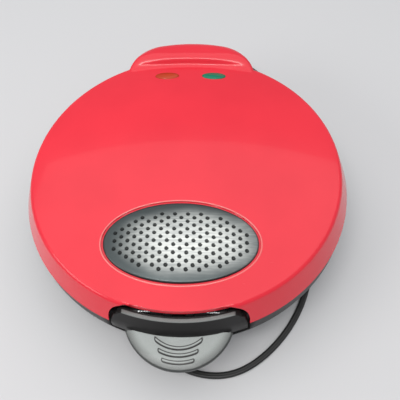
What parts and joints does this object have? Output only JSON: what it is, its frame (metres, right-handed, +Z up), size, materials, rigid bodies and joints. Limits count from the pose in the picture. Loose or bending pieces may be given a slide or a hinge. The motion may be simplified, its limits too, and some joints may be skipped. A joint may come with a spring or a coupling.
{
  "type": "donut maker",
  "caption": "Round countertop appliance that bakes ring-shaped cakes between two heated plates, with a hinged domed lid, a sprung thumb latch and a cord.",
  "frame": {"origin": "on the table under the middle of the closed appliance, cord left out", "axes": "+Z up, -Y to the front where the thumb latch is, +Y to the hinge, +X to the right seen from the front"},
  "size_m": [0.24, 0.3176, 0.0793],
  "materials": {
    "red_plastic": "glossy",
    "black_plastic": "satin",
    "latch_plastic": "satin",
    "white_plastic": "matte",
    "coated_aluminium": "non-stick coating",
    "shield_aluminium": "mill",
    "heater_steel": "dull",
    "screw_steel": "plated",
    "silver_trim": "satin",
    "green_lens": "translucent",
    "amber_lens": "translucent",
    "lamp_glass": "clear",
    "foot_rubber": "matte",
    "cord_rubber": "satin",
    "lead_sleeve": "woven sleeve",
    "blade_brass": "plain"
  },
  "bodies": {
    "base": {"base_shell": "black_plastic", "base_bezel": "black_plastic", "lower_plate": "coated_aluminium", "lower_heater": "heater_steel", "lower_shield": "shield_aluminium", "lower_shield_screws": "screw_steel", "lower_plate_screws": "screw_steel", "thermostat": "heater_steel", "thermal_fuse": "heater_steel", "terminal_block": "white_plastic", "foot_pads": "foot_rubber", "base_screws": "screw_steel", "hinge_pins": "screw_steel", "supply_lead": "lead_sleeve", "latch_catch": "screw_steel", "strain_relief": "cord_rubber", "power_cord": "cord_rubber", "plug_body": "cord_rubber", "plug_blades": "blade_brass"},
    "lid": {"lid_cover": "red_plastic", "lid_liner": "black_plastic", "upper_plate": "coated_aluminium", "upper_heater": "heater_steel", "upper_shield": "shield_aluminium", "upper_shield_screws": "screw_steel", "upper_plate_screws": "screw_steel", "lid_screws": "screw_steel", "oval_plate": "silver_trim", "power_lens": "amber_lens", "ready_lens": "green_lens", "power_lamp": "lamp_glass", "ready_lamp": "lamp_glass", "lamp_holder": "white_plastic", "lid_lead": "lead_sleeve", "latch_pin": "screw_steel", "latch_springs": "screw_steel"},
    "latch": {"latch": "latch_plastic"}
  },
  "joints": [
    {"name": "lid_hinge", "type": "hinge", "parent": "base", "child": "lid", "pos_m": [0, 0.1245, 0.052], "axis": [-1, 0, 0], "range_deg": [0, 100]},
    {"name": "latch_pivot", "type": "hinge", "parent": "lid", "child": "latch", "pos_m": [0, -0.1005, 0.0575], "axis": [-1, 0, 0], "range_deg": [0, 30], "stiffness_Nm_per_rad": 0.08, "springref_deg": -11.46}
  ]
}
